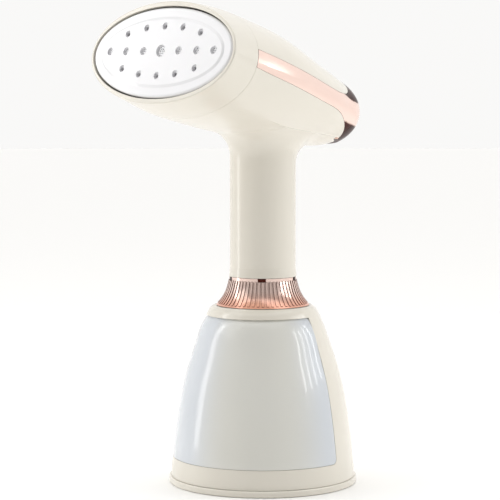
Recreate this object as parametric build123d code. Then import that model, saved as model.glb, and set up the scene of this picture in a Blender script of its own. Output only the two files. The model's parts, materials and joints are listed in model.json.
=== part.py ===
from build123d import *
import os
from math import cos, radians, sin

# Handheld garment steamer: a steam head on a round handle that stands on its water tank.
# Millimetres. +Z is up, z = 0 is the underside of the foot pad, the handle, the lock collar and
# the tank share the Z axis, and the steam plate faces -Y, tilted upwards.
# Pieces of the head are drawn in a level head frame: X across, Y backwards from the plate's
# face, Z up. HEAD then tilts them and lifts them into place.

os.makedirs("parts", exist_ok=True)

CENTRED_UP = (Align.CENTER, Align.CENTER, Align.MIN)

# ---- Driving dimensions ----------------------------------------------------------------------

# Overall
grip_radius = 18.0            # outside of the handle
grip_foot_z = 112.9           # lower end of the handle
foot_bead = 0.5               # the handle swells by this much at its foot
foot_bead_height = 5.0
handle_rise = 120.5           # plate's centre above the handle's foot
handle_place = 0.5423         # share of the head's length in front of the handle's axis
head_pitch = 14.8             # upward tilt of the plate, degrees
head_length = 145.3           # plate face to tail tip, along the head
head_half_width = 51.5        # at the lip round the plate
head_half_height = 27.2
shell_wall = 2.4
bezel_lap = 4.0               # bezel's skirt inside the shells, behind the seam
bezel_wall = 3.7
seam_gap = 0.15               # visible joint between two mouldings
running_gap = 0.3             # between pieces that move past each other
slide_fit = 0.08              # radial play of a pin or plunger in its bore

# Head outline: depth as a share of the head's length, half width and half height as shares
# of the lip's, lift of the centre, and the share of belly_step by which the belly is set in
lip_depth = 0.4
lip_round = 0.8
seam_depth = 20.5
tail_round = 22.0             # depth of the rounded tail end
belly_step = 1.2              # how far the belly is set in below its crease
HEAD_STATIONS = (
    (0.069, 0.973, 1.063, 0.0, 0.0),
    (0.147, 0.953, 1.107, 0.0, 0.0),
    (0.255, 0.936, 1.103, 0.3, 0.0),
    (0.367, 0.917, 1.081, 0.6, 0.0),
    (0.496, 0.870, 1.004, 0.5, 0.5),
    (0.633, 0.798, 0.886, 0.1, 1.0),
    (0.743, 0.720, 0.816, 0.0, 1.0),
)
TAIL_START = (0.637, 0.750, -0.2)    # half width, half height, lift where the rounding starts
TAIL_END = (0.518, 0.651, -0.5)      # the same taper carried on to the tail tip
TAIL_ANGLES = (0, 20, 38, 54, 68, 79, 87)

# Steam plate and its outlets
lip_width = 2.3               # plate's edge inside the lip, at the sides
lip_height = 3.2              # and above and below
plate_thickness = 5.0
plate_edge_round = 1.5
bevel_inset = 5.2             # plate edge to the foot of the raised field
bevel_width = 1.5
bevel_height = 0.5
plate_rim_gap = 0.75          # dark joint between the plate and the bezel
outlet_depth = 1.2            # depth of the round recess of every steam outlet
outlets_lift = 0.7            # row of outlets above the plate's centre
row_outlet_radius = 2.2
centre_outlet_radius = 3.2
jet_radius = 0.4              # fine bores at the foot of the row's outlets
jet_pitch = 1.28
row_pitch = 12.6
arc_outlet_radius = 1.9
arc_bore_radius = 1.0         # single bore at one side of each arc outlet
arc_bore_edge = 0.15          # between that bore and the recess's wall
arc_inset_x = 12.2            # oval of the outer outlets, inside the plate's edge
arc_inset_z = 10.9
arc_pitch = 13.0

# Boiler behind the plate
boiler_inset_x = 6.2          # boiler's edge inside the plate's
boiler_inset_z = 5.0
boiler_depth = 24.0
boiler_gasket = 1.0
chamber_wall = 3.5
chamber_depth = 4.0
heater_radius = 3.3
heater_place = 0.56           # heater's legs, share of the boiler's half width
heater_bend_radius = 10.0
heater_bury = 12.0            # heater's cross run in front of the boiler's back
heater_tail = 8.0             # heater end standing out behind the boiler
boiler_screw_radius = 1.4
boiler_screw_play = 0.1
bracket_thickness = 1.6
bracket_window = 0.7          # bracket's window, share of the boiler's half width
bracket_frame_z = 5.5         # boiler's edge to that window
shield_thickness = 1.0
shield_gap = 1.0
thermostat_radius = 6.0
thermostat_height = 7.0
thermostat_place = 0.233      # share of the boiler's half width
thermostat_z = 4.5
fuse_radius = 2.0
fuse_length = 14.0
fuse_place = -0.233           # share of the boiler's half width
fuse_z = 5.0
fuse_seat = 0.6               # fuse's body clear of the boiler
clamp_thickness = 0.9
clamp_width = 5.0
hose_bore_radius = 2.8
hose_wall = 1.2
hose_bend_radius = 14.0
nozzle_length = 11.0
nozzle_bury = 6.0
nozzle_bore_radius = 1.4
hose_lap = 5.0                # hose pushed over the nozzle
nozzle_drop = 7.0             # nozzle axis below the head axis

# Metallic band along both sides and round the tail: outlines in the side view, depth as a
# share of the head's length and height as a share of head_half_height
BAND_LOWER_EDGE = ((0.344, -0.125), (0.606, -0.151), (0.730, -0.191), (0.798, -0.313),
                   (0.850, -0.544), (0.871, -0.919))
BAND_UPPER_EDGE = ((0.344, 0.228), (0.619, 0.184), (0.716, 0.199), (0.778, 0.301), (0.814, 0.555))
BAND_START = (-0.088, 0.235)         # heights of the lower and upper edge at the seam
CREASE = ((0.172, -0.864), (0.337, -0.798), (0.502, -0.761), (0.668, -0.651), (0.819, -0.551),
          (1.032, -0.496))
cap_floor_share = -0.559             # lowest edge of the tail cap
band_middle_share = 0.066            # height at which the shells part, under the band

# Handle
neck_fillet = 15.0
cover_half_angle = 42.0       # back cover, each side of +Y
trigger_width = 12.0
trigger_length = 22.4
trigger_proud = 1.8
trigger_gap = 0.6
trigger_pin_radius = 1.5
trigger_pin_drop = 4.0        # pin axis below the trigger's top
trigger_pin_depth = 2.4       # pin axis inside the handle's bore
trigger_ear = 1.6
slider_width = 5.0
slider_length = 6.0
slider_travel = 4.0
power_button_radius = 3.8
power_travel = 1.0
lens_radius = 1.0
gland_radius = 4.0
gland_flange = 0.6            # gland's flange beyond its body, inside the handle
cord_bore_radius = 3.1
board_place = 0.487           # front face of the control board, share of the handle's bore
board_thickness = 1.6
board_half_width = 9.0

# Pump in the handle
pump_place = 0.385            # pump's axis in front of the handle's, share of the bore
pump_share = 0.45             # pump's radius, share of the bore
pump_rise = 17.1              # pump's foot above the handle's foot
pump_height = 34.0
pump_core_radius = 3.4
pump_port_radius = 1.0
pump_end = 4.0                # barrel beyond the frame, then as much again for its hose tips
plunger_radius = 2.2
plunger_length = 16.0
plunger_foot = 12.0           # above the pump's foot
pump_plate = 1.2

# Coupling between handle and tank
plug_height = 1.8             # spigot's plug inside the handle's foot
boss_foot = 2.0               # screw bosses above the handle's foot
boss_height = 7.0
boss_web = 2.0
hose_tip_height = 8.0
collar_joint_gap = 0.2        # collar's top below the handle's foot
collar_cap = 1.5
collar_band = 1.7             # plain band above the ribs
collar_drop = 15.6            # collar's foot below the handle's foot
collar_flare = 7.2            # collar's foot beyond its top, radially
collar_step = 0.2             # collar's top beyond the handle, radially
collar_wall = 1.6
rib_count = 58
rib_height = 0.45
lug_count = 3
lug_half_angle = 20.0
lug_height = 2.0
lug_reach = 2.0
journal_step = 1.2            # bearing of the collar on the spigot, inside the handle's bore
retainer_lip = 1.7
seal_thickness = 1.2
spigot_screw_place = 0.65     # share of the tank's mouth radius
spigot_screw_radius = 1.3
mouth_step = 1.4              # tank's mouth inside the collar's bearing
mouth_wall = 2.0
mouth_drop = 5.5              # tank's mouth below the handle's foot
nose_length = 7.0             # spigot's nose inside the mouth
nose_play = 0.5
spigot_bore_radius = 1.6
tube_radius = 3.0
tube_wall = 1.0
tube_foot_z = 16.0
filter_wall = 2.0

# Tank
bell_radius = 50.1            # at the foot of the bell
flange_reach = 1.2            # foot flange beyond the bell
flange_height = 3.6
flange_gap = 0.2
base_step = 2.2               # step of the base inside the cover
cover_wall = 1.9
cover_play = 0.3
bottle_wall = 1.9
shoulder_reach = 4.5          # bell beyond the collar's foot where the shoulder rounds over
shoulder_round = 3.2
window_foot_z = 14.3
window_drop = 5.1             # window's top below the shoulder
window_half_angle = 95.0
window_corner = 3.0
pad_inset = 3.1               # foot pad inside the bell
pad_thickness = 1.8
pad_proud = 0.2
# bell outline: height as a share of the shoulder's, and the share of the whole draw-in
# from the foot to the shoulder that the wall has made there
BELL_DRAW_IN = ((0.227, 0.069), (0.433, 0.208), (0.603, 0.376), (0.773, 0.629), (0.907, 0.866))

# ---- Places worked out from the driving dimensions --------------------------------------------

# Head
plate_centre_y = -handle_place * head_length
plate_centre_z = grip_foot_z + handle_rise
HEAD = Pos(0, plate_centre_y, plate_centre_z) * Rot(-head_pitch, 0, 0)
tail_start_depth = head_length - tail_round
cap_floor_z = cap_floor_share * head_half_height
plate_half_width = head_half_width - lip_width
plate_half_height = head_half_height - lip_height
arc_half_width = plate_half_width - arc_inset_x
arc_half_height = plate_half_height - arc_inset_z
boiler_half_width = plate_half_width - boiler_inset_x
boiler_half_height = plate_half_height - boiler_inset_z
boiler_front = plate_thickness + boiler_gasket
boiler_back = boiler_front + boiler_depth
bracket_back = boiler_back + bracket_thickness
heater_half_span = heater_place * boiler_half_width
thermostat_x = thermostat_place * boiler_half_width
fuse_x = fuse_place * boiler_half_width

# Handle, from its foot upwards
grip_bore = grip_radius - shell_wall
gland_z = grip_foot_z + plug_height + gland_radius + gland_flange + 0.1
power_button_z = gland_z + gland_radius + power_button_radius + 1.7
lens_z = power_button_z + power_button_radius + lens_radius + 0.6
slider_reach = (slider_length + slider_travel) / 2
slider_z = lens_z + lens_radius + slider_reach + 0.7
trigger_foot_z = slider_z + slider_reach + 1.6
trigger_top_z = trigger_foot_z + trigger_length
trigger_pin_z = trigger_top_z - trigger_pin_drop
trigger_pin_y = grip_bore - trigger_pin_depth
trigger_front_y = trigger_pin_y - 2.6
power_collar_y = grip_bore - 3.2
cover_top_z = trigger_top_z + 2.0
board_y = board_place * grip_bore
board_back = board_y + board_thickness
pump_axis_y = -pump_place * grip_bore
pump_radius = pump_share * grip_bore
pump_half_width = pump_radius - 0.75
pump_foot_z = grip_foot_z + pump_rise

# Coupling, from the handle's foot downwards
collar_top_z = grip_foot_z - collar_joint_gap
collar_rib_top_z = collar_top_z - collar_band
collar_foot_z = grip_foot_z - collar_drop
collar_top_radius = grip_radius + collar_step
collar_foot_radius = collar_top_radius + collar_flare
journal_radius = grip_bore - journal_step
mouth_radius = journal_radius - mouth_step
mouth_top_z = grip_foot_z - mouth_drop
nose_foot_z = mouth_top_z - nose_length
retainer_foot_z = mouth_top_z + seal_thickness
retainer_top_z = collar_top_z - collar_cap - running_gap
spigot_screw_x = spigot_screw_place * mouth_radius
lug_root_radius = mouth_radius + mouth_wall
lug_tip_radius = lug_root_radius + lug_reach
tube_top_z = mouth_top_z - 2.0
tank_lug_z = mouth_top_z - lug_height - 2.0
collar_lug_z = tank_lug_z - running_gap - lug_height

# Tank
shoulder_z = collar_foot_z - running_gap
bell_top_radius = collar_foot_radius + shoulder_reach
flange_radius = bell_radius + flange_reach
base_top_z = flange_height + base_step
bottle_inset = cover_wall + cover_play
window_top_z = shoulder_z - window_drop
pad_radius = bell_radius - pad_inset

# Blocks that cut the head into its mouldings reach this far past it
beyond = 2 * head_length


# ---- Shared shapes ----------------------------------------------------------------------------

def oval(depth, half_width, half_height, lift=0.0):
    """Elliptical face across the head, seam at the top."""
    plane = Plane(origin=(0, depth, lift), x_dir=(1, 0, 0), z_dir=(0, 1, 0))
    return plane * Ellipse(half_height, half_width, rotation=-90)


def oval_block(front, back, half_width, half_height):
    """Straight elliptical block between two depths in the head."""
    return extrude(oval(front, half_width, half_height), amount=back - front)


def rod_back(front, back, radius, x=0.0, z=0.0):
    """Round rod along the head's depth."""
    return extrude(Pos(x, 0, z) * oval(front, radius, radius), amount=back - front)


def rod_up(radius, foot, top, x=0.0, y=0.0):
    """Round rod along Z."""
    return Pos(x, y, foot) * Cylinder(radius, top - foot, align=CENTRED_UP)


def ring_up(outer, inner, foot, top):
    """Ring round the Z axis."""
    return rod_up(outer, foot, top) - rod_up(inner, foot - 1, top + 1)


def rod_out(radius, start, end, z, x=0.0):
    """Round rod along +Y."""
    plane = Plane(origin=(x, start, z), x_dir=(1, 0, 0), z_dir=(0, 1, 0))
    return extrude(plane * Circle(radius), amount=end - start)


def box_between(low, high):
    """Box from its lowest corner to its highest."""
    size = [b - a for a, b in zip(low, high)]
    return Pos(*low) * Box(*size, align=(Align.MIN, Align.MIN, Align.MIN))


def head_loft(inset, set_in_belly):
    """The head's outer form, moved inwards by inset, with or without the set-in belly."""
    sections = [oval(lip_depth, head_half_width - inset, head_half_height - inset)]
    for depth_share, width_share, height_share, lift, belly_share in HEAD_STATIONS:
        shrink = inset + (belly_step * belly_share if set_in_belly else 0)
        sections.append(oval(depth_share * head_length, width_share * head_half_width - shrink,
                             height_share * head_half_height - shrink, lift))
    shrink = inset + (belly_step if set_in_belly else 0)
    for angle in TAIL_ANGLES:
        along, across = sin(radians(angle)), cos(radians(angle))
        width_share, height_share, lift = [a + (b - a) * along for a, b in zip(TAIL_START, TAIL_END)]
        sections.append(oval(tail_start_depth + (tail_round - shrink) * along,
                             (width_share * head_half_width - shrink) * across,
                             (height_share * head_half_height - shrink) * across, lift))
    return loft(sections)


def side_region(*edges):
    """Prism across the whole head from a closed outline of edges drawn in its side view."""
    return extrude(make_face(edges), amount=2 * head_half_width, both=True)


def side_point(depth, height):
    """A point of the head's middle plane."""
    return (0, depth, height)


def side_points(shares, back=0.0, up=0.0):
    """Points of the middle plane from shares of the head's length and half height, then moved."""
    return [side_point(depth * head_length + back, height * head_half_height + up)
            for depth, height in shares]


def around_z(shape, count):
    """Copies of a shape, evenly turned round Z."""
    return [Rot(0, 0, 360 / count * index) * shape for index in range(count)]


def sector_ring(outer, inner, foot, top, half_angle, middle):
    """Part of a ring round Z, half_angle each side of the direction middle (degrees from +X)."""
    plane = Plane.XZ
    profile = plane * Pos((outer + inner) / 2, (foot + top) / 2) * Rectangle(outer - inner, top - foot)
    return Rot(0, 0, middle - half_angle) * revolve(profile, Axis.Z, 2 * half_angle)


def coil(radius, wire, pitch, turns):
    """Helical wire standing on z = 0 of its own frame."""
    path = Helix(pitch, pitch * turns, radius)
    return sweep(Plane(origin=path @ 0, z_dir=path % 0) * Circle(wire), path=path, is_frenet=True)


# ---- Steam head -------------------------------------------------------------------------------

def recess(x, z, radius):
    """Cutter for the round recess of one steam outlet."""
    return rod_back(-1, outlet_depth, radius, x, z)


def plate_bore(x, z, radius):
    """Cutter from the foot of a recess through the plate."""
    return rod_back(outlet_depth / 2, plate_thickness + 1, radius, x, z)


def row_outlet(x, radius):
    """Outlet of the straight row: a recess with rings of fine bores at its foot."""
    cutters = [recess(x, outlets_lift, radius), plate_bore(x, outlets_lift, jet_radius)]
    for ring in range(1, int((radius - jet_radius) / jet_pitch) + 1):
        for index in range(6 * ring):
            angle = radians(60 * index / ring)
            jet_x = x + ring * jet_pitch * cos(angle)
            jet_z = outlets_lift + ring * jet_pitch * sin(angle)
            cutters.append(plate_bore(jet_x, jet_z, jet_radius))
    return cutters


def arc_outlet(x, height):
    """Outlet of the arcs: a recess with one bore near its side, which throws the steam sideways."""
    bore_x = x - arc_outlet_radius + arc_bore_radius + arc_bore_edge
    z = outlets_lift + height
    return [recess(x, z, arc_outlet_radius), plate_bore(bore_x, z, arc_bore_radius)]


def plate_outlets():
    """Cutters of all steam outlets: a straight row and an arc above and below it."""
    cutters = row_outlet(0, centre_outlet_radius)
    for x in (row_pitch, 2 * row_pitch, arc_half_width):
        cutters += row_outlet(x, row_outlet_radius) + row_outlet(-x, row_outlet_radius)
    for index in range(-2, 3):
        x = index * arc_pitch
        height = arc_half_height * (1 - (x / arc_half_width) ** 2) ** 0.5
        cutters += arc_outlet(x, height) + arc_outlet(x, -height)
    return cutters


def boiler_screw_places():
    """Screws sit in the middle of the boiler's sealing rim."""
    rim_x = boiler_half_width - chamber_wall / 2
    rim_z = boiler_half_height - chamber_wall / 2
    return [(rim_x, 0), (-rim_x, 0), (0, rim_z), (0, -rim_z)]


def boiler_screw_bores(front, back, radius):
    return [rod_back(front, back, radius, x, z) for x, z in boiler_screw_places()]


def make_steam_plate():
    body = oval_block(bevel_height, plate_thickness, plate_half_width, plate_half_height)
    body = fillet(body.edges().group_by(Axis.Y)[0], plate_edge_round)
    foot = oval(bevel_height, plate_half_width - bevel_inset, plate_half_height - bevel_inset)
    crown_inset = bevel_inset + bevel_width
    crown = oval(0, plate_half_width - crown_inset, plate_half_height - crown_inset)
    field = loft([crown, foot])
    screw_depth = plate_thickness - 2.5
    return body + field - plate_outlets() - boiler_screw_bores(
        screw_depth, plate_thickness + 1, boiler_screw_radius + boiler_screw_play)


def make_plate_gasket():
    outer_width = plate_half_width + plate_rim_gap - seam_gap
    outer_height = plate_half_height + plate_rim_gap - seam_gap
    front = bevel_height + plate_edge_round + 0.3
    ring = oval_block(front, plate_thickness, outer_width, outer_height)
    return ring - oval_block(front - 1, plate_thickness + 1, plate_half_width, plate_half_height)


def slice_between(front, back):
    """Block that keeps one stretch of the head's depth."""
    return box_between((-beyond, front, -beyond), (beyond, back, beyond))


def make_front_bezel(outer):
    """Ring that frames the plate, with a ledge behind it and a skirt inside the shells."""
    ring = outer & slice_between(lip_depth, seam_depth)
    ring = fillet(ring.edges().group_by(Axis.Y)[0], lip_round)
    skirt = head_loft(shell_wall + seam_gap, True) & slice_between(seam_depth - 1, seam_depth + bezel_lap)
    opening_width = plate_half_width + plate_rim_gap
    opening_height = plate_half_height + plate_rim_gap
    mouth = oval_block(lip_depth - 1, plate_thickness, opening_width, opening_height)
    ledge_back = plate_thickness + 2
    ledge_bore = oval_block(lip_depth, ledge_back + 1, boiler_half_width + 2, boiler_half_height + 2)
    cavity = head_loft(bezel_wall, True) & slice_between(ledge_back, seam_depth + bezel_lap + 1)
    return ring + skirt - mouth - ledge_bore - cavity


def make_boiler_gasket():
    front = plate_thickness
    ring = oval_block(front, boiler_front, boiler_half_width, boiler_half_height)
    bore = oval_block(front - 1, boiler_front + 1,
                      boiler_half_width - chamber_wall, boiler_half_height - chamber_wall)
    return ring - bore - boiler_screw_bores(
        front - 1, boiler_front + 1, boiler_screw_radius + boiler_screw_play)


def make_heating_element():
    depth_of_bend = boiler_back - heater_bury
    ends = boiler_back + heater_tail
    path = FilletPolyline((-heater_half_span, ends, 0), (-heater_half_span, depth_of_bend, 0),
                          (heater_half_span, depth_of_bend, 0), (heater_half_span, ends, 0),
                          radius=heater_bend_radius)
    tube = sweep(Plane(origin=path @ 0, z_dir=path % 0) * Circle(heater_radius), path=path)
    pin_length, pin_radius = 6.0, 1.2
    pins = [rod_back(ends, ends + pin_length, pin_radius, side * heater_half_span) for side in (-1, 1)]
    return tube + pins


def make_boiler(heater, nozzle):
    block = oval_block(boiler_front, boiler_back, boiler_half_width, boiler_half_height)
    chamber = oval_block(boiler_front - 1, boiler_front + chamber_depth,
                         boiler_half_width - chamber_wall, boiler_half_height - chamber_wall)
    bores = boiler_screw_bores(boiler_front - 1, boiler_back + 1, boiler_screw_radius + boiler_screw_play)
    return block - chamber - bores - heater - nozzle


def make_water_nozzle():
    front, back = boiler_back - nozzle_bury, boiler_back + nozzle_length
    return rod_back(front, back, hose_bore_radius, 0, -nozzle_drop)


def drill_nozzle(nozzle):
    return nozzle - rod_back(0, boiler_back + nozzle_length + 1, nozzle_bore_radius, 0, -nozzle_drop)


def make_boiler_bracket():
    """Frame that carries the boiler and fits inside the shells all the way round."""
    plate = head_loft(shell_wall + seam_gap, True) & slice_between(boiler_back, bracket_back)
    window = oval_block(boiler_back - 1, bracket_back + 1,
                        bracket_window * boiler_half_width, boiler_half_height - bracket_frame_z)
    return plate - window - boiler_screw_bores(
        boiler_back - 1, bracket_back + 1, boiler_screw_radius + boiler_screw_play)


def make_boiler_screws():
    tip, head_height = plate_thickness - 2, 1.8
    shanks = boiler_screw_bores(tip, bracket_back, boiler_screw_radius)
    heads = boiler_screw_bores(bracket_back, bracket_back + head_height, 2 * boiler_screw_radius)
    return [shank + head for shank, head in zip(shanks, heads)]


def make_heat_shield():
    inner_width = boiler_half_width + shield_gap
    inner_height = boiler_half_height + shield_gap
    front, back = plate_thickness + 3, boiler_back - 0.5
    sleeve = oval_block(front, back, inner_width + shield_thickness, inner_height + shield_thickness)
    return sleeve - oval_block(front - 1, back + 1, inner_width, inner_height)


def make_thermostat():
    """Round can on the boiler's back with two flat terminals."""
    x, z, back = thermostat_x, thermostat_z, boiler_back + thermostat_height
    tab_width, tab_half_thickness, tab_length = 3.0, 0.4, 6.0
    can = rod_back(boiler_back, back, thermostat_radius, x, z)
    tabs = [box_between((x + start, back - 0.5, z - tab_half_thickness),
                        (x + start + tab_width, back + tab_length, z + tab_half_thickness))
            for start in (-1.5 * tab_width, 0.5 * tab_width)]
    return can + tabs


def across_fuse(radius, length):
    """Cylinder along the thermal fuse, which lies across the boiler's back."""
    centre = Pos(fuse_x, boiler_back + fuse_radius + fuse_seat, fuse_z) * Rot(0, 90, 0)
    return centre * Cylinder(radius, length)


def make_fuse_clamp():
    foot_length, foot_thickness = 9.0, 1.2
    strap = across_fuse(fuse_radius + clamp_thickness, clamp_width)
    foot_place = Pos(fuse_x, boiler_back + foot_thickness / 2, fuse_z)
    foot = foot_place * Box(clamp_width, foot_thickness, foot_length)
    clamp = (strap + foot) & slice_between(boiler_back, beyond)
    return clamp - across_fuse(fuse_radius + 0.05, fuse_length)


def band_outline(margin):
    """Side view of the band: a strip from the seam that opens into the tail cap.

    A positive margin makes the region larger, to cut the shells; 0 gives the band itself."""
    front = (seam_depth - 5) / head_length
    low_start, high_start = BAND_START
    low = Spline(side_points(((front, low_start), *BAND_LOWER_EDGE), up=-margin))
    high = Spline(side_points(((front, high_start), *BAND_UPPER_EDGE), back=-margin, up=margin))
    cap_top = side_point((high @ 1).Y, beyond)
    far_top, far_foot = side_point(beyond, beyond), side_point(beyond, (low @ 1).Z)
    return side_region(low, Line(low @ 0, high @ 0), high, Line(high @ 1, cap_top),
                       Line(cap_top, far_top), Line(far_top, far_foot), Line(far_foot, low @ 1))


def above_crease():
    """Side region above the belly's crease, which rises towards the tail."""
    crease = Spline(side_points(CREASE))
    far_top, near_top = side_point((crease @ 1).Y, beyond), side_point((crease @ 0).Y, beyond)
    return side_region(crease, Line(crease @ 1, far_top), Line(far_top, near_top),
                       Line(near_top, crease @ 0))


def behind_seam(gap):
    return slice_between(seam_depth + gap, beyond)


def above(height):
    """Block that keeps what is above a height of the head."""
    return box_between((-beyond, 0, height), (beyond, beyond, beyond))


def make_accent_band(outer, inner):
    return (outer & band_outline(0) & behind_seam(2 * seam_gap) & above(cap_floor_z)) - inner


def make_top_shell(outer, inner):
    parting = above(band_middle_share * head_half_height)
    return (outer & parting & behind_seam(seam_gap)) - band_outline(seam_gap) - inner


# ---- Handle -----------------------------------------------------------------------------------

def is_neck_joint(edge):
    """The closed edge where the handle meets the belly of the head."""
    box = edge.bounding_box()
    is_round = edge.length > 5 * grip_radius and box.size.X < 2 * grip_radius + 1
    return is_round and box.size.Z < grip_radius and box.min.Z > grip_foot_z + 10


def grip_solid(top):
    """The handle's outer form, swelling slightly at its foot."""
    bead = Cone(grip_radius + foot_bead, grip_radius, foot_bead_height, align=CENTRED_UP)
    return rod_up(grip_radius, grip_foot_z, top) + Pos(0, 0, grip_foot_z) * bead


def spigot_bosses():
    """Two screw bosses on webs inside the foot of the handle."""
    foot = grip_foot_z + boss_foot
    top = foot + boss_height
    bosses = []
    for side in (-1, 1):
        x = side * spigot_screw_x
        web_start, web_end = sorted((x, side * (grip_bore + 0.5)))
        web = box_between((web_start, -boss_web / 2, foot), (web_end, boss_web / 2, top))
        bosses.append(rod_up(2 * spigot_screw_radius, foot, top, x) + web)
    return bosses


def spigot_screw_rods(radius, foot, top):
    return [rod_up(radius, foot, top, side * spigot_screw_x) for side in (-1, 1)]


def make_body_shell(outer, belly, inner):
    """Lower half of the head and the handle, one moulding, open at the back of the handle."""
    inside_head_z = plate_centre_z - head_half_height
    joined = HEAD * belly + grip_solid(inside_head_z)
    joined = fillet(joined.edges().filter_by(is_neck_joint), neck_fillet)
    joined = joined + HEAD * (outer & above_crease())
    upper_half = above(band_middle_share * head_half_height)
    band_place = band_outline(seam_gap) & above(cap_floor_z - seam_gap)
    joined = joined & (HEAD * behind_seam(seam_gap) + grip_solid(inside_head_z - 2 * neck_fillet))
    joined = joined - HEAD * upper_half - HEAD * band_place - HEAD * inner
    joined = joined - rod_up(grip_bore, grip_foot_z - 1, inside_head_z - 2) - back_cover_region(0)
    screw_top = grip_foot_z + boss_foot + boss_height - 1
    return joined + spigot_bosses() - spigot_screw_rods(spigot_screw_radius, grip_foot_z, screw_top)


def back_cover_region(inset):
    """Sector of the handle wall that the back cover fills, down to the handle's foot."""
    angle = cover_half_angle - inset / radians(grip_radius)
    return sector_ring(grip_radius + 1, grip_bore - 1, grip_foot_z + inset, cover_top_z - inset, angle, 90)


def pad_out(width, foot, top, start, end, corner):
    """Block with rounded corners standing out along +Y."""
    plane = Plane(origin=(0, start, (foot + top) / 2), x_dir=(1, 0, 0), z_dir=(0, 1, 0))
    return extrude(plane * RectangleRounded(width, top - foot, corner), amount=end - start)


def stadium_out(width, foot, top, start, end):
    """Round-ended block standing out along +Y."""
    return pad_out(width, foot, top, start, end, width / 2 - 0.01)


def through_cover(width, foot, top):
    """Round-ended opening through the back cover."""
    return stadium_out(width, foot, top, grip_bore - 4, grip_radius + 4)


def make_back_cover():
    """Rear panel of the handle with openings for the controls and ears for the trigger's pin."""
    wall = grip_solid(cover_top_z) - rod_up(grip_bore, grip_foot_z - 1, cover_top_z + 1)
    panel = wall & back_cover_region(seam_gap)
    panel = panel - through_cover(trigger_width + 2 * running_gap,
                                  trigger_foot_z - trigger_gap, trigger_top_z + running_gap)
    slot_half = slider_reach + running_gap
    panel = panel - through_cover(slider_width + 2 * running_gap,
                                  slider_z - slot_half, slider_z + slot_half)
    for radius, z in ((power_button_radius + running_gap, power_button_z), (lens_radius, lens_z),
                      (gland_radius, gland_z)):
        panel = panel - rod_out(radius, grip_bore - 5, grip_radius + 2, z)
    return panel + trigger_ears() - trigger_pin_rod(trigger_pin_radius)


def trigger_ears():
    """Bearing ears each side of the trigger's slot."""
    near = trigger_width / 2 + 2 * running_gap
    ears = []
    for side in (-1, 1):
        low_x, high_x = sorted((side * near, side * (near + trigger_ear)))
        ears.append(box_between((low_x, trigger_pin_y - 2.5, trigger_pin_z - 3),
                                (high_x, grip_bore - 0.4, trigger_pin_z + 3)))
    return ears


def trigger_pin_rod(radius):
    """Cylinder on the trigger's hinge axis."""
    length = trigger_width + 4 * running_gap + 2 * trigger_ear
    return Pos(0, trigger_pin_y, trigger_pin_z) * Rot(0, 90, 0) * Cylinder(radius, length)


def make_trigger():
    """Thumb lever, hinged near its top, crowned like the handle it stands out of."""
    pad = stadium_out(trigger_width, trigger_foot_z, trigger_top_z,
                      trigger_front_y, grip_radius + trigger_proud)
    pad = pad & rod_up(grip_radius + trigger_proud, trigger_foot_z - 1, trigger_top_z + 1)
    pad = fillet(pad.edges().filter_by(lambda edge: edge.center().Y > grip_radius), 0.8)
    spring_bay = Pos(0, trigger_pin_y, trigger_pin_z) * Rot(0, 90, 0) * Cylinder(3.4, 7)
    return pad - trigger_pin_rod(trigger_pin_radius + slide_fit) - spring_bay


def make_trigger_spring():
    """Torsion spring round the trigger's pin, between the two halves of its bearing."""
    turns, pitch = 4, 1.2
    start = Pos(-turns * pitch / 2, trigger_pin_y, trigger_pin_z) * Rot(0, 90, 0)
    return start * coil(2.5, 0.35, pitch, turns)


def make_micro_switch():
    """Switch under the trigger; its plunger stands where the pressed trigger leaves it."""
    foot, height, half_width = trigger_foot_z, 13.0, 3.0
    front, plunger_end = pump_axis_y + pump_radius + 0.8, trigger_front_y - 1.5
    back = plunger_end - 1.1
    case = box_between((-half_width, front, foot), (half_width, back, foot + height))
    plunger = box_between((-1, back, foot + 3), (1, plunger_end, foot + 6))
    leg_radius, leg_length, leg_pitch = 0.6, 0.6, 4.0
    legs = [rod_out(leg_radius, front - leg_length, front, foot + 2.5 + leg_pitch * index)
            for index in range(3)]
    return case + plunger + legs


def make_lock_slider():
    """Thumb slider for continuous steam, resting at the lower end of its slot."""
    shoe_lap, shoe_thickness, thumb_proud = 1.5, 1.4, 1.4
    low = slider_z - slider_reach
    high = low + slider_length
    shoe_back = grip_bore - 1.8
    thumb = stadium_out(slider_width, low, high, shoe_back - 0.2, grip_radius + thumb_proud)
    half_width = slider_width / 2 + shoe_lap
    shoe = box_between((-half_width, shoe_back - shoe_thickness, low - 0.6),
                       (half_width, shoe_back, high + 0.6))
    return thumb + shoe


def make_power_button():
    """Round cap with a collar that keeps it inside the back cover."""
    cap = rod_out(power_button_radius, power_collar_y, grip_radius + 0.9, power_button_z)
    cap = fillet(cap.edges().group_by(Axis.Y)[-1], 0.5)
    return cap + rod_out(power_button_radius + 0.7, power_collar_y, power_collar_y + 1, power_button_z)


def make_indicator_lens():
    return rod_out(lens_radius, grip_bore - 2, grip_radius + 0.2, lens_z)


def make_control_board():
    """Board with a capacitor and a relay on its front and the indicator's diode on its back."""
    board = box_between((-board_half_width, board_y, gland_z + 5.5),
                        (board_half_width, board_back, trigger_foot_z - 1.5))
    capacitor = box_between((-8, board_y - 1.4, power_button_z + 6), (-3, board_y, power_button_z + 14))
    relay = box_between((1, board_y - 1.8, power_button_z + 7), (7, board_y, power_button_z + 14))
    return board + capacitor + relay + rod_out(1.0, board_back, board_back + 1.8, lens_z)


def make_tact_switch():
    """Small switch on the board, its stem just short of the fully pressed power button."""
    half_width, height, stem_radius = 3.0, 1.2, 1.2
    case = box_between((-half_width, board_back, power_button_z - half_width),
                       (half_width, board_back + height, power_button_z + half_width))
    stem_end = power_collar_y - power_travel - 0.1
    return case + rod_out(stem_radius, board_back + height, stem_end, power_button_z)


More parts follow.
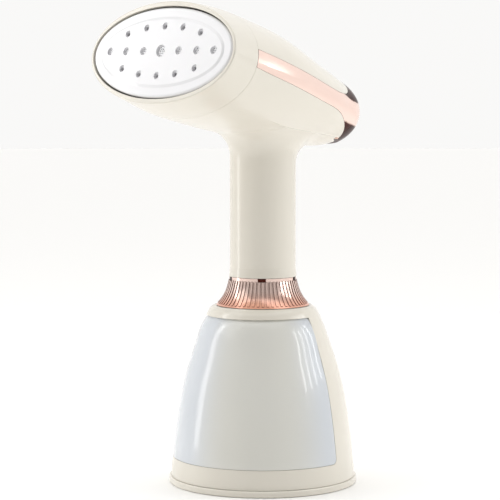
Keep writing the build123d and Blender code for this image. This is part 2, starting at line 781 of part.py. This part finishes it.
def make_cord_gland():
    """Grommet in the back cover, bored for the mains lead."""
    front = grip_bore - 3
    body = rod_out(gland_radius, front, grip_radius + 1.5, gland_z)
    flange = rod_out(gland_radius + gland_flange, front, front + 0.8, gland_z)
    return body + flange - rod_out(cord_bore_radius, front - 1, 2 * grip_radius, gland_z)


# ---- Pump in the handle -------------------------------------------------------------------------

def at_pump(shape):
    return Pos(0, pump_axis_y, pump_foot_z) * shape


def pump_rod(radius, foot, top):
    """Round rod on the pump's axis, heights counted from its foot."""
    return Pos(0, 0, foot) * Cylinder(radius, top - foot, align=CENTRED_UP)


def make_pump_frame():
    """Steel yoke of the solenoid: two end plates joined by a strap."""
    half = pump_half_width
    foot = box_between((-half, -half, 0), (half, half, pump_plate))
    top = box_between((-half, -half, pump_height - pump_plate), (half, half, pump_height))
    strap = box_between((-half, -half - pump_plate, 0), (half, -half, pump_height))
    return at_pump(foot + top + strap - pump_rod(pump_core_radius, -1, pump_height + 1))


def make_pump_coil():
    foot, top = pump_plate, pump_height - pump_plate
    winding = pump_rod(pump_half_width - 0.2, foot, top)
    cheeks = [pump_rod(pump_half_width, foot, foot + 1), pump_rod(pump_half_width, top - 1, top)]
    return at_pump(winding + cheeks - pump_rod(pump_core_radius, 0, pump_height))


def make_pump_cylinder():
    """Brass barrel through the coil, with a hose tip at each end."""
    tip_end = 2 * pump_end
    barrel = pump_rod(pump_core_radius, -pump_end, pump_height + pump_end)
    tips = pump_rod(hose_bore_radius, -tip_end, pump_height + tip_end)
    room = pump_rod(plunger_radius + slide_fit, 2, pump_height - 2)
    port = pump_rod(pump_port_radius, -tip_end - 1, pump_height + tip_end + 1)
    return at_pump(barrel + tips - room - port)


def make_pump_plunger():
    return at_pump(pump_rod(plunger_radius, plunger_foot, plunger_foot + plunger_length))


def make_pump_spring():
    wire, foot = 0.3, 2.4
    height = plunger_foot - foot - 2 * wire
    return at_pump(Pos(0, 0, foot) * coil(plunger_radius - 2.2 * wire, wire, height / 6, 6))


# ---- Coupling, collar and hoses -------------------------------------------------------------------

def make_coupling_spigot():
    """Plug in the handle's foot that carries the collar, the suction tube and the hose tip."""
    plug = rod_up(grip_bore - 0.05, grip_foot_z, grip_foot_z + plug_height)
    journal = rod_up(journal_radius, retainer_top_z, grip_foot_z)
    retainer = rod_up(journal_radius + retainer_lip, retainer_foot_z, retainer_top_z)
    nose = rod_up(mouth_radius - nose_play, nose_foot_z, retainer_foot_z)
    hose_tip_top = grip_foot_z + hose_tip_height
    hose_tip = rod_up(hose_bore_radius, grip_foot_z + plug_height, hose_tip_top, 0, pump_axis_y)
    body = plug + journal + retainer + nose + hose_tip
    socket = rod_up(tube_radius, nose_foot_z - 1, tube_top_z)
    turn_z = grip_foot_z - 2
    inlet = rod_up(spigot_bore_radius, tube_top_z - 1, turn_z)
    across = Pos(0, pump_axis_y / 2, turn_z) * Rot(90, 0, 0) * Cylinder(spigot_bore_radius, -pump_axis_y)
    outlet = rod_up(spigot_bore_radius, turn_z, hose_tip_top + 1, 0, pump_axis_y)
    counterbores = spigot_screw_rods(2 * spigot_screw_radius, nose_foot_z - 1, retainer_top_z)
    screw_bores = spigot_screw_rods(spigot_screw_radius, retainer_top_z - 1, grip_foot_z + 3)
    return body - socket - inlet - across - outlet - counterbores - screw_bores


def make_spigot_screws():
    """Two screws that draw the spigot up against the handle's foot."""
    head_height, bite = 2.0, 7.5
    heads = spigot_screw_rods(2 * spigot_screw_radius - 0.2, retainer_top_z - head_height, retainer_top_z)
    shanks = spigot_screw_rods(spigot_screw_radius, retainer_top_z, grip_foot_z + bite)
    return [head + shank for head, shank in zip(heads, shanks)]


def collar_radius(z):
    """Trumpet outline of the collar: a near-upright neck that flares out at its foot."""
    fall = (collar_rib_top_z - z) / (collar_rib_top_z - collar_foot_z)
    return collar_top_radius + (collar_foot_radius - collar_top_radius) * (0.45 * fall + 0.55 * fall ** 3)


def collar_profile(outset, wall, foot, top):
    """Radial section of the collar between two heights, pushed out by outset, wall thick."""
    heights = [foot + (top - foot) * step / 5 for step in range(6)]
    outer = Spline([(collar_radius(z) + outset, 0, z) for z in heights])
    inner = Spline([(collar_radius(z) + outset - wall, 0, z) for z in heights])
    return make_face([outer, inner, Line(inner @ 0, outer @ 0), Line(inner @ 1, outer @ 1)])


def make_lock_collar():
    skirt = revolve(collar_profile(0, collar_wall, collar_foot_z, collar_rib_top_z), Axis.Z)
    cap = ring_up(collar_top_radius, journal_radius + running_gap, collar_top_z - collar_cap, collar_top_z)
    bridge = ring_up(collar_top_radius, collar_top_radius - collar_wall, collar_rib_top_z, collar_top_z)
    rib_section = collar_profile(rib_height, rib_height + 0.5, collar_foot_z + 1.1, collar_rib_top_z)
    rib = revolve(rib_section, Axis.Z, 180 / rib_count)
    lug_top_z = collar_lug_z + lug_height
    lug = sector_ring(collar_radius(lug_top_z) - collar_wall / 2, lug_root_radius + running_gap,
                      collar_lug_z, lug_top_z, lug_half_angle, 90)
    return skirt + cap + bridge + around_z(rib, rib_count) + around_z(lug, lug_count)


def make_mouth_seal():
    return ring_up(lug_root_radius - 0.3, mouth_radius - nose_play, mouth_top_z + 0.2, retainer_foot_z)


def make_suction_tube():
    bore = rod_up(tube_radius - tube_wall, tube_foot_z - 1, mouth_top_z)
    return rod_up(tube_radius, tube_foot_z, tube_top_z) - bore


def make_suction_filter():
    """Slotted cap pushed over the tube's foot."""
    radius, foot, top = tube_radius + filter_wall, tube_foot_z - 4, tube_foot_z + 6
    body = rod_up(radius, foot, top)
    body = fillet(body.edges().group_by(Axis.Z)[0], 1.5)
    slot = Pos(0, 0, foot + 2) * Box(3 * radius, 1, 3, align=CENTRED_UP)
    hollow = rod_up(tube_radius - tube_wall, foot + 1, top + 1)
    return body - around_z(slot, 6) - hollow - rod_up(tube_radius, tube_foot_z, top + 1)


def make_lower_hose():
    """Straight piece between the spigot's tip and the pump's foot."""
    foot, top = grip_foot_z + plug_height + 0.2, pump_foot_z - pump_end - 0.2
    hose = rod_up(hose_bore_radius + hose_wall, foot, top, 0, pump_axis_y)
    return hose - rod_up(hose_bore_radius, foot - 1, top + 1, 0, pump_axis_y)


def make_upper_hose():
    """From the pump's outlet up the handle and forward to the boiler's nozzle."""
    start = Vector(0, pump_axis_y, pump_foot_z + pump_height + pump_end + 0.2)
    tilt = radians(head_pitch)
    reach = boiler_back + nozzle_length - hose_lap
    end = Vector(0, plate_centre_y + reach * cos(tilt) - nozzle_drop * sin(tilt),
                 plate_centre_z - reach * sin(tilt) - nozzle_drop * cos(tilt))
    corner = Vector(0, pump_axis_y, end.Z - (pump_axis_y - end.Y) * sin(tilt) / cos(tilt))
    path = FilletPolyline(start, corner, end, radius=hose_bend_radius)
    section = Circle(hose_bore_radius + hose_wall) - Circle(hose_bore_radius)
    return sweep(Plane(origin=path @ 0, z_dir=path % 0) * section, path=path)


# ---- Tank -----------------------------------------------------------------------------------------

def bell_profile(inset, foot, top):
    """Outer half-section of the bell moved inwards by inset, down to the axis, from foot to top."""
    points = [(bell_radius - inset, 0, foot)]
    for height_share, draw_share in BELL_DRAW_IN:
        draw_in = draw_share * (bell_radius - bell_top_radius)
        points.append((bell_radius - draw_in - inset, 0, height_share * shoulder_z))
    rounding = max(shoulder_round - inset, 0.8)
    shoulder = (bell_top_radius - inset, 0, top - rounding)
    wall = Spline(points + [shoulder])
    corner = (shoulder[0] - rounding, 0, top)
    arc = TangentArc(wall @ 1, corner, tangent=wall % 1)
    return make_face([wall, arc, Line(corner, (0, 0, top)), Line((0, 0, top), (0, 0, foot)),
                      Line((0, 0, foot), points[0])])


def bell_solid(inset, foot, top):
    return revolve(bell_profile(inset, foot, top), Axis.Z)


def window_tool(inset):
    """Sector block through which the bottle shows, rounded at its lower corners."""
    angle = window_half_angle - inset / radians(bell_radius)
    block = sector_ring(bell_radius + 20, bell_top_radius - 6,
                        window_foot_z + inset, window_top_z - inset, angle, -90)
    corners = block.edges().filter_by(GeomType.LINE).filter_by(lambda edge: abs(edge.tangent_at(0).Z) < 0.5)
    return fillet(corners.group_by(Axis.Z)[0], window_corner - inset)


def make_tank_cover():
    foot = flange_height + flange_gap
    shell = bell_solid(0, foot, shoulder_z) - bell_solid(cover_wall, foot - 0.001, shoulder_z - cover_wall)
    neck_hole = rod_up(collar_top_radius, shoulder_z - 6, shoulder_z + 1)
    return shell - neck_hole - window_tool(0)


def make_tank_bottle():
    foot, top = base_top_z + 0.2, shoulder_z - bottle_inset
    outer = bell_solid(bottle_inset, foot, top)
    pane = bell_solid(0.1, foot, top) & window_tool(0.2)
    neck = rod_up(lug_root_radius, top - 3, mouth_top_z)
    lugs = around_z(sector_ring(lug_tip_radius, lug_root_radius - 0.5, tank_lug_z, tank_lug_z + lug_height,
                                lug_half_angle, -90), lug_count)
    hollow = bell_solid(bottle_inset + bottle_wall, foot + bottle_wall, top - bottle_wall)
    return outer + pane + neck + lugs - hollow - rod_up(mouth_radius, top - 5, mouth_top_z + 1)


def make_tank_base():
    underside = pad_proud
    flange = rod_up(flange_radius, underside, flange_height)
    flange = fillet(flange.edges().group_by(Axis.Z)[0], 0.4)
    flange = fillet(flange.edges().group_by(Axis.Z)[-1], 0.6)
    step = rod_up(bell_radius - bottle_inset, flange_height - 1, base_top_z)
    return flange + step - rod_up(pad_radius, 0, pad_thickness)


def make_foot_pad():
    pad = rod_up(pad_radius - 0.1, 0, pad_thickness)
    return fillet(pad.edges().group_by(Axis.Z)[0], 0.4)


# ---- Build and write ------------------------------------------------------------------------------

head_outer = head_loft(0, False)
head_belly = head_loft(0, True)
head_inner = head_loft(shell_wall, True)
heater = make_heating_element()
nozzle = make_water_nozzle()

head_parts = {
    "steam_plate": make_steam_plate(),
    "plate_gasket": make_plate_gasket(),
    "front_bezel": make_front_bezel(head_outer),
    "top_shell": make_top_shell(head_outer, head_inner),
    "accent_band": make_accent_band(head_outer, head_inner),
    "boiler": make_boiler(heater, nozzle),
    "boiler_gasket": make_boiler_gasket(),
    "heating_element": heater,
    "water_nozzle": drill_nozzle(nozzle),
    "boiler_bracket": make_boiler_bracket(),
    "boiler_screws": make_boiler_screws(),
    "heat_shield": make_heat_shield(),
    "thermostat": make_thermostat(),
    "thermal_fuse": across_fuse(fuse_radius, fuse_length),
    "fuse_clamp": make_fuse_clamp(),
}
handle_parts = {
    "body_shell": make_body_shell(head_outer, head_belly, head_inner),
    "back_cover": make_back_cover(),
    "trigger_pin": trigger_pin_rod(trigger_pin_radius),
    "steam_trigger": make_trigger(),
    "trigger_spring": make_trigger_spring(),
    "micro_switch": make_micro_switch(),
    "lock_slider": make_lock_slider(),
    "power_button": make_power_button(),
    "indicator_lens": make_indicator_lens(),
    "control_board": make_control_board(),
    "tact_switch": make_tact_switch(),
    "cord_gland": make_cord_gland(),
    "pump_frame": make_pump_frame(),
    "pump_coil": make_pump_coil(),
    "pump_cylinder": make_pump_cylinder(),
    "pump_plunger": make_pump_plunger(),
    "pump_spring": make_pump_spring(),
    "upper_hose": make_upper_hose(),
    "lower_hose": make_lower_hose(),
    "coupling_spigot": make_coupling_spigot(),
    "lock_collar": make_lock_collar(),
    "spigot_screws": make_spigot_screws(),
    "mouth_seal": make_mouth_seal(),
    "suction_tube": make_suction_tube(),
    "suction_filter": make_suction_filter(),
    "tank_bottle": make_tank_bottle(),
    "tank_cover": make_tank_cover(),
    "tank_base": make_tank_base(),
    "foot_pad": make_foot_pad(),
}


def write_part(name, shape):
    """One STEP file per piece; a group of like pieces becomes one file of separate solids."""
    solids = shape if isinstance(shape, (list, ShapeList)) else [shape]
    loose = [solid for item in solids for solid in item.solids()]
    export_step(loose[0] if len(loose) == 1 else Compound(children=loose), f"parts/{name}.step")


for name, shape in head_parts.items():
    pieces = shape if isinstance(shape, (list, ShapeList)) else [shape]
    write_part(name, [HEAD * piece for piece in pieces])
for name, shape in handle_parts.items():
    write_part(name, shape)
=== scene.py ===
import json
import math

import bpy
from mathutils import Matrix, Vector


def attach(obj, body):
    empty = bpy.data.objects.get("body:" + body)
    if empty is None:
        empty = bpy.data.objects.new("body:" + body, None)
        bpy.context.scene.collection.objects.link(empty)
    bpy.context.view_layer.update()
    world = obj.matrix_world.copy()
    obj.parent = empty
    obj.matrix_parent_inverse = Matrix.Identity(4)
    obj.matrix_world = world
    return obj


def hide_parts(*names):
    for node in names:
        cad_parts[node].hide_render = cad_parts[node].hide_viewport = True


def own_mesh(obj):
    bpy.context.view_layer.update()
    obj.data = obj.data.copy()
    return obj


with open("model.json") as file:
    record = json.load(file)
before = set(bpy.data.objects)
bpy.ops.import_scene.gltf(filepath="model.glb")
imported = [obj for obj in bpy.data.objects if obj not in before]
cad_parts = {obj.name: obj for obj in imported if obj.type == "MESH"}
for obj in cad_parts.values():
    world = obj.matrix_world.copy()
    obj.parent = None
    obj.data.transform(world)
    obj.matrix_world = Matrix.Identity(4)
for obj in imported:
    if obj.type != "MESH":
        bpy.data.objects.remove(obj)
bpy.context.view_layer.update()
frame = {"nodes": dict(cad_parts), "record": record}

# ---- Camera, as fitted to the product view ----------------------------------------------------

CAMERA_AZIMUTH = math.radians(41.7)      # 0 looks along +Y, positive from the +X side
CAMERA_DISTANCE = 1.098                  # from the tank's axis, level, metres
CAMERA_HEIGHT = 0.2159
CAMERA_PITCH = math.radians(4.634)       # downwards
LENS_MM = 145.4
SHIFT_X = -0.0256

# Brightness of the studio: the wall behind the object, the room behind the camera, and the
# wide soft light overhead
BACKDROP_LEVEL = 0.95
ROOM_LEVEL = 0.26
OVERHEAD_LEVEL = 1.15

# Where the room gives way to the wall, as a cosine from the wall's middle, and how steep a
# direction has to be to meet the light overhead, as a share of straight up
WALL_FADE = (-0.8, 0.5)
OVERHEAD_EDGE = (0.76, 0.88)


def make_camera():
    data = bpy.data.cameras.new("camera")
    data.lens = LENS_MM
    data.sensor_width = 36
    data.shift_x = SHIFT_X
    camera = bpy.data.objects.new("camera", data)
    bpy.context.scene.collection.objects.link(camera)
    camera.location = (math.sin(CAMERA_AZIMUTH) * CAMERA_DISTANCE,
                       -math.cos(CAMERA_AZIMUTH) * CAMERA_DISTANCE, CAMERA_HEIGHT)
    camera.rotation_euler = (math.pi / 2 - CAMERA_PITCH, 0, CAMERA_AZIMUTH)
    bpy.context.scene.camera = camera


# ---- Studio -----------------------------------------------------------------------------------

OBJECT_MIDDLE = Vector((0, 0, 0.14))      # the lights aim at it


def area_light(name, azimuth, elevation, distance, size, power, colour=(1, 1, 1)):
    """Soft box aimed at the middle of the object; azimuth counts as the camera's does."""
    data = bpy.data.lights.new(name, "AREA")
    data.shape = "RECTANGLE"
    data.size, data.size_y = size
    data.energy = power
    data.color = colour
    light = bpy.data.objects.new(name, data)
    bpy.context.scene.collection.objects.link(light)
    a, e = math.radians(azimuth), math.radians(elevation)
    away = Vector((math.sin(a) * math.cos(e), -math.cos(a) * math.cos(e), math.sin(e)))
    light.location = OBJECT_MIDDLE + away * distance
    light.rotation_euler = away.to_track_quat("Z", "Y").to_euler()


def make_lights():
    area_light("key", -35, 40, 1.1, (0.7, 0.7), 1.8, (1.0, 0.985, 0.96))
    area_light("left_strip", -52, 14, 0.9, (0.16, 0.8), 1.5)
    for azimuth in (106, 117, 128, 139):
        area_light("right_strip", azimuth, 20, 0.9, (0.045, 0.42), 0.5)


def smooth_range(tree, value, source, target):
    """A value mapped from one range to another with soft ends."""
    node = tree.nodes.new("ShaderNodeMapRange")
    node.interpolation_type = "SMOOTHSTEP"
    node.inputs["From Min"].default_value, node.inputs["From Max"].default_value = source
    node.inputs["To Min"].default_value, node.inputs["To Max"].default_value = target
    tree.links.new(value, node.inputs["Value"])
    return node.outputs["Result"]


def combine(tree, operation, first, second):
    """Two values joined by one arithmetic operation."""
    node = tree.nodes.new("ShaderNodeMath")
    node.operation = operation
    tree.links.new(first, node.inputs[0])
    tree.links.new(second, node.inputs[1])
    return node.outputs["Value"]


def make_world():
    """White wall behind the object, dimmer room behind the camera, soft light overhead."""
    world = bpy.data.worlds.new("studio")
    world.use_nodes = True
    tree = world.node_tree
    direction = tree.nodes.new("ShaderNodeTexCoord").outputs["Generated"]

    away = tree.nodes.new("ShaderNodeVectorMath")
    away.operation = "DOT_PRODUCT"
    away.inputs[1].default_value = (-math.sin(CAMERA_AZIMUTH), math.cos(CAMERA_AZIMUTH), 0)
    tree.links.new(direction, away.inputs[0])
    walls = smooth_range(tree, away.outputs["Value"], WALL_FADE, (ROOM_LEVEL, BACKDROP_LEVEL))

    parts = tree.nodes.new("ShaderNodeSeparateXYZ")
    tree.links.new(direction, parts.inputs["Vector"])
    overhead = smooth_range(tree, parts.outputs["Z"], OVERHEAD_EDGE, (0.0, OVERHEAD_LEVEL))

    background = tree.nodes["Background"]
    background.inputs["Color"].default_value = (1.0, 0.995, 0.985, 1)
    strength = combine(tree, "ADD", walls, overhead)
    tree.links.new(strength, background.inputs["Strength"])
    bpy.context.scene.world = world


def make_floor():
    bpy.ops.mesh.primitive_circle_add(vertices=96, radius=6, fill_type="NGON", location=(0, 0, 0))
    floor = bpy.context.object
    floor.name = "floor"
    material = bpy.data.materials.new("floor")
    material.use_nodes = True
    shader = material.node_tree.nodes["Principled BSDF"]
    shader.inputs["Base Color"].default_value = (0.93, 0.925, 0.915, 1)
    shader.inputs["Roughness"].default_value = 0.6
    shader.inputs["Specular IOR Level"].default_value = 0.2
    floor.data.materials.append(material)


# ---- Material building blocks -----------------------------------------------------------------

# Where most of a noise's values lie, and how open a groove's floor and an open surface are
NOISE_RANGE = (0.3, 0.7)
CREASE_RANGE = (0.52, 0.72)

class Recipe:
    """A material's node tree, with short ways to add the nodes that the recipes below share."""

    def __init__(self, name):
        self.material = bpy.data.materials.new(name)
        self.material.use_nodes = True
        self.tree = self.material.node_tree
        self.shader = self.tree.nodes["Principled BSDF"]

    def set(self, **values):
        """Fixed values of the shader; an underscore in a name stands for a space."""
        for key, value in values.items():
            self.shader.inputs[key.replace("_", " ")].default_value = value
        return self

    def node(self, kind, **values):
        node = self.tree.nodes.new(kind)
        for key, value in values.items():
            node.inputs[key.replace("_", " ")].default_value = value
        return node

    def link(self, out, into):
        self.tree.links.new(out, into)

    def noise(self, scale, detail=2.0, stretch=(1, 1, 1)):
        """Noise in object space, scale in features per metre."""
        place = self.tree.nodes.new("ShaderNodeTexCoord")
        mapping = self.node("ShaderNodeMapping")
        mapping.inputs["Scale"].default_value = stretch
        noise = self.node("ShaderNodeTexNoise", Scale=scale, Detail=detail)
        self.link(place.outputs["Object"], mapping.inputs["Vector"])
        self.link(mapping.outputs["Vector"], noise.inputs["Vector"])
        return noise.outputs["Fac"]

    def spread(self, factor, low, high, source=NOISE_RANGE):
        """A factor mapped from its usual range to low to high."""
        ramp = self.node("ShaderNodeMapRange")
        ramp.inputs["From Min"].default_value, ramp.inputs["From Max"].default_value = source
        ramp.inputs["To Min"].default_value = low
        ramp.inputs["To Max"].default_value = high
        self.link(factor, ramp.inputs["Value"])
        return ramp.outputs["Result"]

    def blend(self, factor, first, second):
        """Colour that moves from first to second with a factor; each is a colour or a socket."""
        mix = self.tree.nodes.new("ShaderNodeMix")
        mix.data_type = "RGBA"
        for name, colour in (("A", first), ("B", second)):
            target = next(s for s in mix.inputs if s.name == name and s.type == "RGBA")
            if isinstance(colour, tuple):
                target.default_value = (*colour, 1)
            else:
                self.link(colour, target)
        self.link(factor, mix.inputs["Factor"])
        return next(s for s in mix.outputs if s.type == "RGBA")

    def crease_shade(self, reach):
        """1 on open surfaces, falling to 0 deep in grooves about reach metres across; it paints shade into
        grooves.
        """
        open_share = self.node("ShaderNodeAmbientOcclusion", Distance=reach)
        open_share.samples = 8
        return self.spread(open_share.outputs["AO"], 0, 1, CREASE_RANGE)

    def coordinates(self, kind):
        """The X, Y and Z of a position or normal, in object space."""
        parts = self.tree.nodes.new("ShaderNodeSeparateXYZ")
        self.link(self.tree.nodes.new("ShaderNodeTexCoord").outputs[kind], parts.inputs["Vector"])
        return parts.outputs

    def turning(self, start, repeats):
        """Cosine of the direction round Z from start (radians), with that many waves to a turn."""
        place = self.coordinates("Object")
        angle = combine(self.tree, "ARCTAN2", place["Y"], place["X"])
        wave = self.tree.nodes.new("ShaderNodeMath")
        wave.operation = "MULTIPLY_ADD"
        self.link(angle, wave.inputs[0])
        wave.inputs[1].default_value = repeats
        wave.inputs[2].default_value = -repeats * start
        cosine = self.tree.nodes.new("ShaderNodeMath")
        cosine.operation = "COSINE"
        self.link(wave.outputs["Value"], cosine.inputs[0])
        return cosine.outputs["Value"]

    def notch_shade_squares(self):
        """1 on the collar's squares of painted shade, which stand in for notches at equal steps round its
        plain upper band.
        """
        square = smooth_range(self.tree, self.turning(MARK_START, MARK_COUNT), MARK_EDGE, (0, 1))
        height = self.coordinates("Object")["Z"]
        over_foot = smooth_range(self.tree, height, MARK_FOOT, (0, 1))
        under_top = smooth_range(self.tree, height, MARK_TOP, (1, 0))
        return combine(self.tree, "MULTIPLY", square, combine(self.tree, "MULTIPLY", over_foot, under_top))

    def tail_painted_reflection(self):
        """1 where the head's tail cap leans up or far down and gets a painted dark reflection, 0
        elsewhere.
        """
        lean = self.coordinates("Normal")["Z"]
        upper = smooth_range(self.tree, lean, UP_REFLECTION_LEAN, (0, 1))
        lower = smooth_range(self.tree, lean, DOWN_REFLECTION_LEAN, (1, 0))
        in_tail = smooth_range(self.tree, self.coordinates("Object")["Y"], TAIL_START, (0, 1))
        return combine(self.tree, "MULTIPLY", combine(self.tree, "ADD", upper, lower), in_tail)

    def colour(self, socket):
        self.link(socket, self.shader.inputs["Base Color"])
        return self

    def two_tone(self, factor, first, second):
        """Base colour that wanders between two tones with a factor."""
        return self.colour(self.blend(factor, first, second))

    def rough(self, factor, low, high):
        self.link(self.spread(factor, low, high), self.shader.inputs["Roughness"])
        return self

    def bump(self, factor, height_mm):
        """Relief of that height, in millimetres, from a factor."""
        bump = self.node("ShaderNodeBump", Distance=height_mm / 1000, Strength=1.0)
        self.link(factor, bump.inputs["Height"])
        self.link(bump.outputs["Normal"], self.shader.inputs["Normal"])
        return self


# ---- Materials --------------------------------------------------------------------------------

# Upward part of the normal at which the band's tail cap turns to a painted dark reflection, and where the
# cap starts; the dark brown serves that painted reflection and the collar's painted shade
UP_REFLECTION_LEAN = (0.26, 0.32)
DOWN_REFLECTION_LEAN = (-0.56, -0.50)
TAIL_START = (0.022, 0.026)
DARK_BROWN = (0.075, 0.020, 0.014)

# Heights between which the collar's salmon foot turns to the paler tone above
SALMON_FADE = (0.098, 0.107)

# Squares of painted shade on the collar's upper band, where notches would be: how many, where the first
# one stands, the wave's cosine at their edges, and the heights of their foot and of the collar's top, each
# as a narrow range
MARK_COUNT = 5
MARK_START = math.radians(-50)
MARK_EDGE = (0.79, 0.84)
MARK_FOOT = (0.1107, 0.1109)
MARK_TOP = (0.114, 0.116)

# Middle of the tank's pane, round Z, where its painted reflection is strongest
PANE_MIDDLE = math.radians(-52)


def cream_plastic():
    r = Recipe("cream_plastic").set(IOR=1.5, Coat_Weight=0.3, Coat_Roughness=0.06)
    r.two_tone(r.noise(9, 1), (0.765, 0.725, 0.640), (0.775, 0.737, 0.655))
    return r.rough(r.noise(20, 1), 0.25, 0.27).material


def rose_gold():
    """Pale plated plastic with painted light: a painted dark brown reflection on the tail cap's crowns and
    undersides, and painted shade on the collar's squares and in the grooves.
    """
    r = Recipe("rose_gold").set(Metallic=0.45)
    pale = r.blend(r.noise(22, 2), (0.93, 0.70, 0.62), (0.95, 0.74, 0.66))
    above_foot = smooth_range(r.tree, r.coordinates("Object")["Z"], SALMON_FADE, (0, 1))
    tone = r.blend(above_foot, (0.86, 0.44, 0.32), pale)
    # Painted shade: the plating turns dark brown deep in its grooves
    shaded_grooves = r.blend(r.crease_shade(0.0018), (0.13, 0.05, 0.035), tone)
    # Painted dark: the reflection on the tail cap and the squares of painted shade on the collar
    dark = combine(r.tree, "MAXIMUM", r.tail_painted_reflection(), r.notch_shade_squares())
    r.colour(r.blend(dark, shaded_grooves, DARK_BROWN))
    # The painted reflection and painted shade also dull the specular tint
    r.link(r.blend(dark, (1.0, 1.0, 1.0), (0.10, 0.05, 0.04)), r.shader.inputs["Specular Tint"])
    return r.rough(r.noise(40, 1), 0.16, 0.18).material


def plate_ceramic():
    r = Recipe("plate_ceramic").set(IOR=1.55, Coat_Weight=0.5, Coat_Roughness=0.05)
    r.two_tone(r.noise(15, 2), (0.82, 0.82, 0.84), (0.84, 0.84, 0.86))
    return r.rough(r.noise(20, 1), 0.2, 0.22).material


def clear_tank():
    """Bluish milky plastic with a glossy skin; the beige in the pane's middle is a painted reflection of
    the studio.
    """
    r = Recipe("clear_tank").set(Transmission_Weight=0.22, IOR=1.4, Coat_Weight=0.5, Coat_Roughness=0.04)
    # Painted reflection: beige towards the pane's middle, the plastic's own bluish tint towards its sides
    middle = smooth_range(r.tree, r.turning(PANE_MIDDLE, 1), (0.62, 0.97), (0, 1))
    reflected_beige = r.blend(r.noise(14, 1), (0.90, 0.90, 0.86), (0.92, 0.91, 0.84))
    r.colour(r.blend(middle, (0.80, 0.84, 0.89), reflected_beige))
    return r.rough(r.noise(20, 1), 0.22, 0.25).material


def rubber(name, dark, light):
    r = Recipe(name).set(IOR=1.45)
    r.two_tone(r.noise(60, 3), dark, light)
    r.rough(r.noise(500, 3), 0.5, 0.7)
    return r.bump(r.noise(2200, 3), 0.02).material


def metal(name, dark, light, rough_low, rough_high, stretch=(1, 1, 1)):
    r = Recipe(name).set(Metallic=1.0)
    r.two_tone(r.noise(70, 4, stretch), dark, light)
    r.rough(r.noise(600, 4, stretch), rough_low, rough_high)
    return r.bump(r.noise(1500, 4, stretch), 0.015).material


def moulded(name, dark, light, rough_low=0.4, rough_high=0.55):
    r = Recipe(name).set(IOR=1.48)
    r.two_tone(r.noise(40, 3), dark, light)
    r.rough(r.noise(400, 3), rough_low, rough_high)
    return r.bump(r.noise(1600, 3), 0.012).material


def make_materials():
    """One material for each material slot of the record."""
    return {
        "cream_plastic": cream_plastic(),
        "rose_gold": rose_gold(),
        "plate_ceramic": plate_ceramic(),
        "clear_tank": clear_tank(),
        "dark_rubber": rubber("dark_rubber", (0.02, 0.02, 0.02), (0.035, 0.034, 0.033)),
        "pale_rubber": rubber("pale_rubber", (0.62, 0.60, 0.56), (0.70, 0.68, 0.64)),
        "cast_aluminium": metal("cast_aluminium", (0.50, 0.50, 0.51), (0.62, 0.62, 0.63), 0.4, 0.6),
        "steel": metal("steel", (0.55, 0.55, 0.56), (0.66, 0.66, 0.67), 0.25, 0.4, (1, 1, 6)),
        "brass": metal("brass", (0.62, 0.44, 0.18), (0.74, 0.55, 0.26), 0.2, 0.35, (1, 1, 6)),
        "copper_winding": metal("copper_winding", (0.48, 0.20, 0.10), (0.62, 0.28, 0.15), 0.25, 0.4,
                                (0.2, 0.2, 30)),
        "black_plastic": moulded("black_plastic", (0.015, 0.015, 0.016), (0.03, 0.03, 0.03)),
        "white_plastic": moulded("white_plastic", (0.66, 0.66, 0.64), (0.74, 0.74, 0.72)),
        "board_green": moulded("board_green", (0.015, 0.09, 0.04), (0.03, 0.14, 0.07)),
        "lens_amber": moulded("lens_amber", (0.75, 0.30, 0.08), (0.85, 0.38, 0.12), 0.12, 0.2),
        "shield_fibre": moulded("shield_fibre", (0.50, 0.46, 0.38), (0.62, 0.58, 0.50), 0.8, 0.95),
    }


def dress_frame(materials):
    """Gives every CAD node the material of its slot."""
    slots = {part["node"]: part["material_slot"] for part in frame["record"]["subparts"]}
    for name, node in frame["nodes"].items():
        node.data.materials.clear()
        node.data.materials.append(materials[slots[name]])


def make_pump_spring():
    """The pump's spring as its own piece with its own mesh, joined to the handle's body; the real spring
    shortens as the plunger comes down on it.
    """
    spring = bpy.data.objects.new("pump_spring_coil", frame["nodes"]["pump_spring"].data.copy())
    bpy.context.scene.collection.objects.link(spring)
    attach(spring, "handle")
    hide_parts("pump_spring")
    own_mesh(spring)


bpy.context.scene.view_settings.view_transform = "Standard"
make_camera()
make_world()
make_lights()
make_floor()
dress_frame(make_materials())
make_pump_spring()
